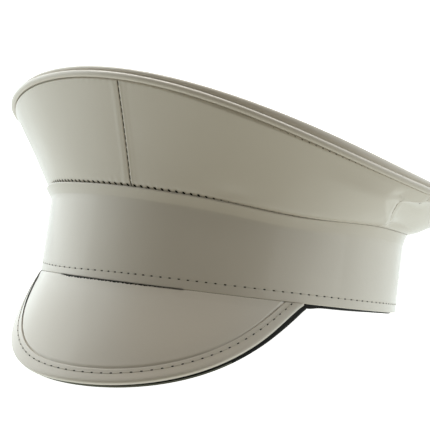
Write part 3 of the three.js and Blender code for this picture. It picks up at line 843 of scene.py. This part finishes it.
edge_out, edge_part = smooth_line(TOP_EDGE, TOP_EDGE_STEPS).T
under_out, under_up = smooth_line(TOP_UNDER_EDGE, UNDER_EDGE_STEPS).T
lip_up = TOP_LIP - LEFT_SEAM_DROP * left_swell(top_angle)
roll_tall = ROLL_TALL + (LEFT_ROLL_TALL - ROLL_TALL) * left_swell(top_angle)
top_loop = np.concatenate([
    panel_rings(TOP_UP),
    rim_point(top_angle, 1, edge_out[None], lip_up + roll_tall * edge_part),
    rim_point(top_angle, 1, under_out[None], lip_up + under_up),
    panel_rings(TOP_UP - TOP_WALL)[:, ::-1],
], axis=1)
outside_rows = len(FLAT_RINGS) + len(edge_out)
inside_rows = len(FLAT_RINGS) + len(under_out)
top_finish = np.array([VINYL] * outside_rows + [CLOTH] * inside_rows)


def middle_closed(body, columns, loop, finishes):
    """The body of a ring of panel, with the small hole in its middle closed above and below."""
    kept = np.arange(columns * loop) % loop != loop - 1
    upper, lower = columns * loop, columns * loop + 1
    turn = np.arange(0, columns, 2)
    fans = []
    for centre, place in ((upper, 0), (lower, loop - 1)):
        ring = [((turn + step) % columns) * loop + place for step in range(3)]
        fans.append(np.stack([np.full(len(turn), centre)] + ring, axis=-1))
    faces = np.concatenate([body["faces"][kept], fans[0], fans[1][:, ::-1]])
    rings = body["points"].reshape(columns, loop, 3)
    centres = np.stack([rings[:, 0].mean(axis=0), rings[:, -1].mean(axis=0)])
    cut = np.concatenate([body["cut"][kept], np.zeros((columns, 4, 2))])
    finish = np.concatenate([body["finish"][kept], np.repeat(finishes, columns // 2)])
    return {"points": np.concatenate([body["points"], centres]), "faces": faces, "cut": cut, "finish": finish}


top_body = middle_closed(loft(top_loop, True, top_finish), TOP_COLUMNS, top_loop.shape[1], [VINYL, CLOTH])
crown_top = sewn("crown_top", [top_body], vinyl_finishes)


# Peak
# A steep curved tongue of the glossy vinyl, sewn under the front of the band and glued to the black layer
# below it. Its outer margin lies under the stitched binding.
PEAK_SPREAD, PEAK_REACH, PEAK_FULLNESS, PEAK_END_SWELL = 60.3, 53.0, 1.49, 0.51
PEAK_SLOPE, PEAK_END_SLOPE, PEAK_LEFT_TWIST, PEAK_BULGE = 61.6, 65.4, 4.9, 1.5
PEAK_GAP, BINDING_WALL, SKIN_WALL, UNDERLAY_WALL = 0.06, 0.75, 1.0, 1.75
BINDING_WIDTH, BINDING_TRIM, LEFT_END_TRIM, RIGHT_WIDENING, RIGHT_END_WIDENING = 7.7, 0.65, 0.35, 0.42, 0.25
TRIM_START, TRIM_END, LEFT_TRIM_START, LEFT_TRIM_END = -0.25, 0.05, 0.7, 0.95
WIDE_UNTIL, WIDE_GONE, END_WIDE_UNTIL, END_WIDE_GONE = -0.75, -0.2, -0.9, -0.6
ROOT_RISE, ROOT_REACH = 0.3, 5.0
SKIN_GAP, RAMP_START, RAMP_END = 0.2, 1.2, 0.3
SKIN_TOP = -BINDING_WALL - SKIN_GAP
SKIN_BOTTOM = SKIN_TOP - SKIN_WALL
SKIN_END, SKIN_COLUMNS, SKIN_ROWS, SKIN_INSET, SKIN_RISE = 0.92, 220, 90, 2.1, 0.55


def peak_slope(share):
    return np.radians(PEAK_SLOPE + (PEAK_END_SLOPE - PEAK_SLOPE) * share ** 2 - PEAK_LEFT_TWIST * share)


def peak_length(share):
    return PEAK_REACH * (1 - share ** 2) ** PEAK_FULLNESS * (1 + PEAK_END_SWELL * share ** 2)


def peak_point(share, along, lift):
    """Point of the peak at a share of its half spread, a distance down its slope and a lift off its face."""
    share, along, lift = np.broadcast_arrays(share, along, lift)
    slope, length = peak_slope(share), peak_length(share)
    part = np.clip(along / length, 0, 1)
    raised = lift + 4 * PEAK_BULGE * part * (1 - part) * length / PEAK_REACH
    out = along * np.cos(slope) + raised * np.sin(slope)
    point = band_point(share * math.radians(PEAK_SPREAD), 0 * share, out)
    point[..., 2] = raised * np.cos(slope) - along * np.sin(slope)
    return point


def peak_root(share, lift, drop):
    """Where a layer of the peak starts, cut level at a drop below the band."""
    return (drop + lift * np.cos(peak_slope(share))) / np.sin(peak_slope(share))


def edge_inset(share, inset):
    """Distance up the slope that an inset square to the outer edge takes."""
    edge = unit(peak_point(share + NUDGE, peak_length(share + NUDGE), 0)
                - peak_point(share - NUDGE, peak_length(share - NUDGE), 0))
    ruling = unit(peak_point(share, peak_length(share), 0) - peak_point(share, 0, 0))
    return inset / np.linalg.norm(np.cross(edge, ruling), axis=-1)


def binding_inset(share, inset):
    """Inset of a place on the binding. The strip is cut back a little on the wearer's left and is wider on
    the right."""
    trim = BINDING_TRIM * ease(share, TRIM_START, TRIM_END)
    trim = trim + LEFT_END_TRIM * ease(share, LEFT_TRIM_START, LEFT_TRIM_END)
    wider = 1 + RIGHT_WIDENING * (1 - ease(share, WIDE_UNTIL, WIDE_GONE))
    wider = wider + RIGHT_END_WIDENING * (1 - ease(share, END_WIDE_UNTIL, END_WIDE_GONE))
    return edge_inset(share, trim + inset * (wider - trim / BINDING_WIDTH))


skin_share = np.linspace(-SKIN_END, SKIN_END, SKIN_COLUMNS)[:, None]
skin_tip = peak_length(skin_share) - edge_inset(skin_share, SKIN_INSET)
binding_edge = peak_length(skin_share) - binding_inset(skin_share, BINDING_WIDTH)
part = np.linspace(0, 1, SKIN_ROWS)[None]
skin_faces = []
for lift in (SKIN_TOP, SKIN_BOTTOM):
    root = peak_root(skin_share, lift + SKIN_RISE + ROOT_RISE, PEAK_GAP)
    along = root + (skin_tip - root) * part
    risen = lift + SKIN_RISE * (1 - ease(along, binding_edge - RAMP_START, binding_edge - RAMP_END))
    risen = risen + ROOT_RISE * (1 - ease(along, root, root + ROOT_REACH))
    skin_faces.append(peak_point(skin_share, along, risen))
skin_loop = np.concatenate([skin_faces[0], skin_faces[1][:, ::-1]], axis=1)
peak = sewn("peak", [
    loft(skin_loop, False, np.array([VINYL] * SKIN_ROWS + [CLOTH] * SKIN_ROWS)),
], vinyl_finishes)


# Peak binding
# A folded strip of the same vinyl, laid on the margin of the peak and turned over its edge.
# One row of stitches goes through it and the layers below.
BINDING_END, BINDING_COLUMNS, OUTLINE_STEPS, HEM_STEPS = 0.955, 420, 4, 6
BINDING_STITCH_PITCH, STITCH_PROUD = 4.6, 0.1
HEM_STITCHES = [
    {"share": -1.0, "inset": 5.2},
    {"share": -0.3, "inset": 5.3},
    {"share": 0.1, "inset": 5.25},
    {"share": 0.38, "inset": 5.6},
    {"share": 0.62, "inset": 5.2},
    {"share": 0.85, "inset": 4.6},
    {"share": 1.0, "inset": 4.6},
]
STITCHED_FROM, STITCHED_TO = -0.84, 0.885
BINDING_OUTLINE = [
    (7.7, -0.75), (7.7, -0.4), (7.4, -0.16), (6.7, -0.1), (5.5, -0.04), (4.4, 0.1), (3.2, 0.26), (1.8, 0.4),
    (0.7, 0.34), (0.18, -0.15), (0, -1.1), (0.05, -1.7), (0.5, -1.82),
]
BINDING_FACE = BINDING_OUTLINE[1:9]
BINDING_UNDERSIDE = [(0.9, -1.82), (1.0, -1.3), (1.15, -0.8), (2.4, -0.75), (5, -0.75), (7.4, -0.75)]

binding_share = np.linspace(-BINDING_END, BINDING_END, BINDING_COLUMNS)[:, None]
binding_rows = np.concatenate([smooth_line(BINDING_OUTLINE, OUTLINE_STEPS),
                               smooth_line(BINDING_UNDERSIDE, OUTLINE_STEPS)])
# The ends are closed in pairs of points, so the loop has an even number of them.
if len(binding_rows) % 2:
    binding_rows = binding_rows[:-1]
binding_root = peak_root(binding_share, 0, PEAK_GAP)
binding_along = peak_length(binding_share) - binding_inset(binding_share, binding_rows[None, :, 0])
binding_along = np.maximum(binding_along, binding_root)
binding_loop = peak_point(binding_share, binding_along, binding_rows[None, :, 1])


def hem_inset(share):
    line_share, line_inset = smooth_line([(row["share"], row["inset"]) for row in HEM_STITCHES], HEM_STEPS).T
    return np.interp(share, line_share, line_inset)


def hem_along(share):
    return peak_length(share) - binding_inset(share, hem_inset(share))


def hem_line(share):
    """The line of stitches, set just proud of the binding's face."""
    face_inset, face_lift = np.array(BINDING_FACE[::-1]).T
    lift = np.interp(hem_inset(share), face_inset, face_lift)
    return peak_point(share, hem_along(share), lift + STITCH_PROUD)


hem_stitches = stitch_angles(hem_line, STITCHED_FROM, STITCHED_TO, BINDING_STITCH_PITCH)
# Each stitch's needle hole is darkened with painted shade.
hem_holes = hem_line(hem_stitches)
hem_square = square_to(lambda a, b: peak_point(a, b, 0), hem_stitches, hem_along(hem_stitches))
hem_square *= np.sign(hem_square[:, 2:])
hem_run = unit(np.gradient(hem_holes, axis=0))
peak_binding = sewn("peak_binding", [
    loft(binding_loop, False, np.full(len(binding_rows), VINYL)),
    threads(hem_holes[:-1], hem_holes[1:], hem_square[:-1], THREAD_ROUND, THREAD),
    needle_holes(hem_holes, hem_run, hem_square, HOLE_LONG, HOLE_WIDE, PAINTED_SHADE),
], vinyl_finishes)


# Peak underlay
# The black lower layer of the peak, a thick grained vinyl whose rounded edge stands proud of the binding on
# the wearer's left. It is sewn up under the band with the skin. The lower half of its rounded edge and its
# underside are painted a lighter olive-grey, a painted sheen of the light from the table. A ragged strip of
# it shows between band and peak. A thin black cord along the binding's inner edge on the wearer's right is
# painted shade for the gap between skin and binding.
UNDERLAY_GAP, UNDERLAY_CLEAR = 0.3, 0.3
UNDERLAY_TOP = SKIN_BOTTOM - UNDERLAY_GAP
UNDERLAY_BOTTOM = UNDERLAY_TOP - UNDERLAY_WALL
UNDERLAY_END, UNDERLAY_COLUMNS, UNDERLAY_ROWS, UNDERLAY_LAST_ROW = 0.985, 320, 46, 0.97
EDGE_ROWS, EDGE_STEPS, BLACK_EDGE_ROWS, SHEEN_EDGE_ROWS = 14, 6, 8, 2
UNDERLAY_EDGE = [
    {"share": -1.0, "proud": -0.9},
    {"share": -0.7, "proud": -0.5},
    {"share": -0.5, "proud": -0.35},
    {"share": -0.3, "proud": -0.35},
    {"share": 0.0, "proud": -0.5},
    {"share": 0.24, "proud": -0.15},
    {"share": 0.45, "proud": 0.25},
    {"share": 0.67, "proud": 0.7},
    {"share": 0.78, "proud": 1.1},
    {"share": 0.92, "proud": 1.5},
    {"share": 1.0, "proud": 0.7},
]
RAGGED_START, RAGGED_END, RAGGED_TALL, RAGGED_OUT, RAGGED_THICK = -24.0, 22.0, 0.8, 0.1, 0.3
RAGGED_FULL, RAGGED_THIN_START, RAGGED_THIN_END, RAGGED_FADE = -18.0, -14.0, -8.0, 2.0
RAGGED_THINNING, RAGGED_LEAST = 0.3, 0.02
RAGGED_COLUMNS, RAGGED_SIDES = 720, 8
GAP_SHADE_START, GAP_SHADE_FADE, GAP_SHADE_END, GAP_SHADE_ROUND, GAP_SHADE_LIFT = -0.9, -0.66, -0.45, 0.3, -0.25
GAP_SHADE_COLUMNS, GAP_SHADE_LEAST = 160, 0.01
SHEEN_START, SHEEN_END = -0.15, 0.6
FRAYS = [
    {"turns": 4.3, "depth": 0.45, "start": 0.0},
    {"turns": 1.3, "depth": 0.25, "start": 1.0},
    {"turns": 7.3, "depth": 0.35, "start": 2.0},
    {"turns": 10.9, "depth": 0.25, "start": 0.5},
]

underlay_share = np.linspace(-UNDERLAY_END, UNDERLAY_END, UNDERLAY_COLUMNS)[:, None]
edge_share, edge_proud = smooth_line([(row["share"], row["proud"]) for row in UNDERLAY_EDGE], EDGE_STEPS).T
underlay_proud = np.interp(underlay_share, edge_share, edge_proud)
underlay_tip = peak_length(underlay_share) + edge_inset(underlay_share, underlay_proud)
edge_round = UNDERLAY_WALL / 2
turn = np.linspace(np.pi / 2, -np.pi / 2, EDGE_ROWS)
edge_lift = (UNDERLAY_TOP + UNDERLAY_BOTTOM) / 2 + edge_round * np.sin(turn)
edge_set = edge_inset(underlay_share, edge_round * (1 - np.cos(turn))[None])
part = np.linspace(0, UNDERLAY_LAST_ROW, UNDERLAY_ROWS)[None]
underlay_drop = SWEATBAND_DROP + UNDERLAY_CLEAR
top_root = peak_root(underlay_share, UNDERLAY_TOP, underlay_drop)
bottom_root = peak_root(underlay_share, UNDERLAY_BOTTOM, underlay_drop)
edge_start = underlay_tip - edge_inset(underlay_share, edge_round)
underlay_loop = np.concatenate([
    peak_point(underlay_share, top_root + (edge_start - top_root) * part, UNDERLAY_TOP),
    peak_point(underlay_share, underlay_tip - edge_set, edge_lift[None]),
    peak_point(underlay_share, bottom_root + (edge_start - bottom_root) * part[:, ::-1], UNDERLAY_BOTTOM),
], axis=1)
ragged_degrees = np.linspace(RAGGED_START, RAGGED_END, RAGGED_COLUMNS)
frayed = 1 + sum(row["depth"] * np.sin(ragged_degrees * row["turns"] + row["start"]) for row in FRAYS)
ragged_thin = RAGGED_THINNING * ease(ragged_degrees, RAGGED_THIN_START, RAGGED_THIN_END)
ragged_fade = ease(ragged_degrees, RAGGED_START, RAGGED_FULL) * (1 - ragged_thin)
ragged_fade = ragged_fade * (1 - ease(ragged_degrees, RAGGED_FADE, RAGGED_END))
ragged_half = (RAGGED_LEAST + RAGGED_TALL * ragged_fade * frayed)[:, None] / 2
ragged_turn = np.linspace(0, 2 * np.pi, RAGGED_SIDES, endpoint=False)[None]
ragged_loop = band_point(np.radians(ragged_degrees)[:, None], ragged_half * (np.sin(ragged_turn) - 1),
                         RAGGED_OUT + RAGGED_THICK * np.cos(ragged_turn))
# A thin black cord in the groove along the binding's inner edge on the wearer's right is painted shade: a
# dark strip standing in for the shadow in the gap between skin and binding.
gap_shade_share = np.linspace(GAP_SHADE_START, GAP_SHADE_END, GAP_SHADE_COLUMNS)[:, None]
gap_shade_half = GAP_SHADE_ROUND * (1 - ease(gap_shade_share, GAP_SHADE_FADE, GAP_SHADE_END)) + GAP_SHADE_LEAST
gap_shade_along = peak_length(gap_shade_share) - binding_inset(gap_shade_share, BINDING_WIDTH) - GAP_SHADE_ROUND
gap_shade_loop = peak_point(gap_shade_share, gap_shade_along + gap_shade_half * np.cos(ragged_turn),
                         GAP_SHADE_LIFT + gap_shade_half * np.sin(ragged_turn))
UNDERLAY, PAINTED_SHEEN = range(2)
underlay_finishes = [
    black_leather("underlay_vinyl", (0.008, 0.008, 0.008), (0.014, 0.014, 0.013), 1300),
    # A lighter olive-grey copy of the black: painted sheen of the table's light on the lower half of the
    # rounded edge, also laid over the underside.
    black_leather("underlay_painted_sheen", (0.15, 0.155, 0.125), (0.19, 0.197, 0.16), 1300),
]
# Along the middle of the peak, more of the rounded edge takes the painted sheen.
sheen_edge = (underlay_share[:-1] > SHEEN_START) & (underlay_share[:-1] < SHEEN_END)
black_rows = UNDERLAY_ROWS + np.where(sheen_edge, SHEEN_EDGE_ROWS, BLACK_EDGE_ROWS)
underlay_finish = np.where(np.arange(underlay_loop.shape[1])[None] < black_rows, UNDERLAY, PAINTED_SHEEN)
peak_underlay = sewn("peak_underlay", [
    loft(underlay_loop, False, underlay_finish),
    loft(ragged_loop, False, np.full(RAGGED_SIDES, UNDERLAY)),
    loft(gap_shade_loop, False, np.full(RAGGED_SIDES, UNDERLAY)),
], underlay_finishes)


# Floor, lights and camera
# A white table in a white light tent that is open towards the camera. The opening is dark and the table in
# front of it warmer, so the cap's gloss is dull in the middle and bright at its edges. A softbox stands at
# each side, and a long one hangs behind the cap.
CAP_MIDDLE = Vector((0, 0, 0.07))
ROOM_ROUND, ROOM_TALL, ROOM_SINK, STAGE_SIDES = 9.0, 6.0, 1.0, 96
TABLE_GLOW, ROOM_GLOW = 1.0, 1.0
OPENING_TURN, OPENING_RISE = 34.0, 10.0
OPENING_EDGE, TENT_EDGE = 0.78, -0.3
OPENING_DARK, TENT_WHITE = (0.02, 0.015, 0.01), (1.17, 1.26, 1.25)
TABLE_FRONT, TABLE_BACK = (0.37, 0.33, 0.22), (0.93, 0.99, 0.93)
TABLE_EDGE_HIGH, TABLE_EDGE_LOW = -0.05, -0.4
ROOF_FRONT, ROOF_BACK = (0.82, 0.68, 0.5), (0.55, 0.55, 0.5)
ROOF_EDGE_LOW, ROOF_EDGE_HIGH = 0.78, 0.95
SOFTBOXES = [
    {"name": "left_box", "azimuth": -92, "elevation": 20, "distance": 1.3, "wide": 1.6, "tall": 1.1,
     "watts": 1.8, "colour": (0.95, 1.0, 1.0)},
    {"name": "right_box", "azimuth": 94, "elevation": 8, "distance": 1.3, "wide": 1.1, "tall": 1.3,
     "watts": 2.4, "colour": (0.97, 1.0, 0.98)},
    {"name": "back_box", "azimuth": 210, "elevation": 67, "distance": 1.2, "wide": 1.6, "tall": 0.5,
     "watts": 7.5, "colour": (1.0, 1.0, 0.97)},
]
CAMERA_PLACE = (0.371323, -0.670706, 0.172584)
CAMERA_TURN, CAMERA_DIP, CAMERA_ROLL = 29.733, 8.3597, 0.9584
CAMERA_LENS, CAMERA_SENSOR, CAMERA_NEAR, CAMERA_FAR = 124.55, 36.0, 0.05, 50.0


def lit_white(name, glow):
    made, _, _, shader = material(name)
    shader.inputs["Base Color"].default_value = (0.9, 0.9, 0.9, 1)
    shader.inputs["Roughness"].default_value = 0.8
    shader.inputs["Emission Color"].default_value = (1, 1, 1, 1)
    shader.inputs["Emission Strength"].default_value = glow
    return made


def camera_only(thing):
    """The light on the cap comes from the tent and the softboxes, so the stage throws nothing back on it."""
    thing.visible_diffuse = False
    thing.visible_glossy = False
    thing.visible_transmission = False
    thing.visible_shadow = False


bpy.ops.mesh.primitive_circle_add(vertices=STAGE_SIDES, radius=ROOM_ROUND, fill_type="NGON",
                                  location=(0, 0, 0))
floor = bpy.context.object
floor.name = "floor"
floor.data.materials.append(lit_white("table_white", TABLE_GLOW))
bpy.ops.mesh.primitive_cylinder_add(vertices=STAGE_SIDES, radius=ROOM_ROUND, depth=ROOM_TALL,
                                    end_fill_type="TRIFAN", location=(0, 0, ROOM_TALL / 2 - ROOM_SINK))
room = bpy.context.object
room.name = "room"
room.data.materials.append(lit_white("room_white", ROOM_GLOW))
for thing in (floor, room):
    camera_only(thing)


def towards(azimuth, elevation):
    """Direction from the cap, azimuth 0 at the front and 90 at the wearer's left."""
    turn, climb = math.radians(azimuth), math.radians(elevation)
    return Vector((math.sin(turn) * math.cos(climb), -math.cos(turn) * math.cos(climb), math.sin(climb)))


for box in SOFTBOXES:
    lamp = bpy.data.lights.new(box["name"], "AREA")
    lamp.shape = "RECTANGLE"
    lamp.size, lamp.size_y = box["wide"], box["tall"]
    lamp.energy, lamp.color = box["watts"], box["colour"]
    outward = towards(box["azimuth"], box["elevation"])
    stand = bpy.data.objects.new(box["name"], lamp)
    stand.location = CAP_MIDDLE + outward * box["distance"]
    stand.rotation_euler = outward.to_track_quat("Z", "Y").to_euler()
    bpy.context.scene.collection.objects.link(stand)

tent = bpy.data.worlds.new("light_tent")
bpy.context.scene.world = tent
tent.use_nodes = True
tent_nodes, tent_links = tent.node_tree.nodes, tent.node_tree.links
outlook = tent_nodes.new("ShaderNodeTexCoord").outputs["Generated"]


def blended(factor, one, other):
    mix = tent_nodes.new("ShaderNodeMix")
    mix.data_type = "RGBA"
    tent_links.new(factor, mix.inputs["Factor"])
    for socket, colour in ((mix.inputs["A"], one), (mix.inputs["B"], other)):
        if isinstance(colour, tuple):
            socket.default_value = (*colour, 1)
        else:
            tent_links.new(colour, socket)
    return mix.outputs["Result"]


def across(value, low, high):
    spread = tent_nodes.new("ShaderNodeMapRange")
    spread.interpolation_type = "SMOOTHSTEP"
    spread.inputs["From Min"].default_value = low
    spread.inputs["From Max"].default_value = high
    tent_links.new(value, spread.inputs["Value"])
    return spread.outputs["Result"]


facing = tent_nodes.new("ShaderNodeVectorMath")
facing.operation = "DOT_PRODUCT"
facing.inputs[1].default_value = towards(OPENING_TURN, OPENING_RISE)
tent_links.new(outlook, facing.inputs[0])
outlook_parts = tent_nodes.new("ShaderNodeSeparateXYZ")
tent_links.new(outlook, outlook_parts.inputs["Vector"])
lit = across(facing.outputs["Value"], OPENING_EDGE, TENT_EDGE)
down = across(outlook_parts.outputs["Z"], TABLE_EDGE_HIGH, TABLE_EDGE_LOW)
overhead = across(outlook_parts.outputs["Z"], ROOF_EDGE_LOW, ROOF_EDGE_HIGH)
sides = blended(overhead, blended(lit, OPENING_DARK, TENT_WHITE), blended(lit, ROOF_FRONT, ROOF_BACK))
around = blended(down, sides, blended(lit, TABLE_FRONT, TABLE_BACK))
tent_links.new(around, tent_nodes["Background"].inputs["Color"])

camera = bpy.data.objects.new("camera", bpy.data.cameras.new("camera"))
camera.data.lens, camera.data.sensor_width = CAMERA_LENS, CAMERA_SENSOR
camera.data.clip_start, camera.data.clip_end = CAMERA_NEAR, CAMERA_FAR
aim = Matrix.Rotation(math.radians(CAMERA_TURN), 4, "Z")
dip = Matrix.Rotation(math.radians(90 - CAMERA_DIP), 4, "X")
roll = Matrix.Rotation(math.radians(CAMERA_ROLL), 4, "Z")
camera.matrix_world = Matrix.Translation(CAMERA_PLACE) @ aim @ dip @ roll
bpy.context.scene.collection.objects.link(camera)
bpy.context.scene.camera = camera
bpy.context.scene.view_settings.view_transform = "Standard"
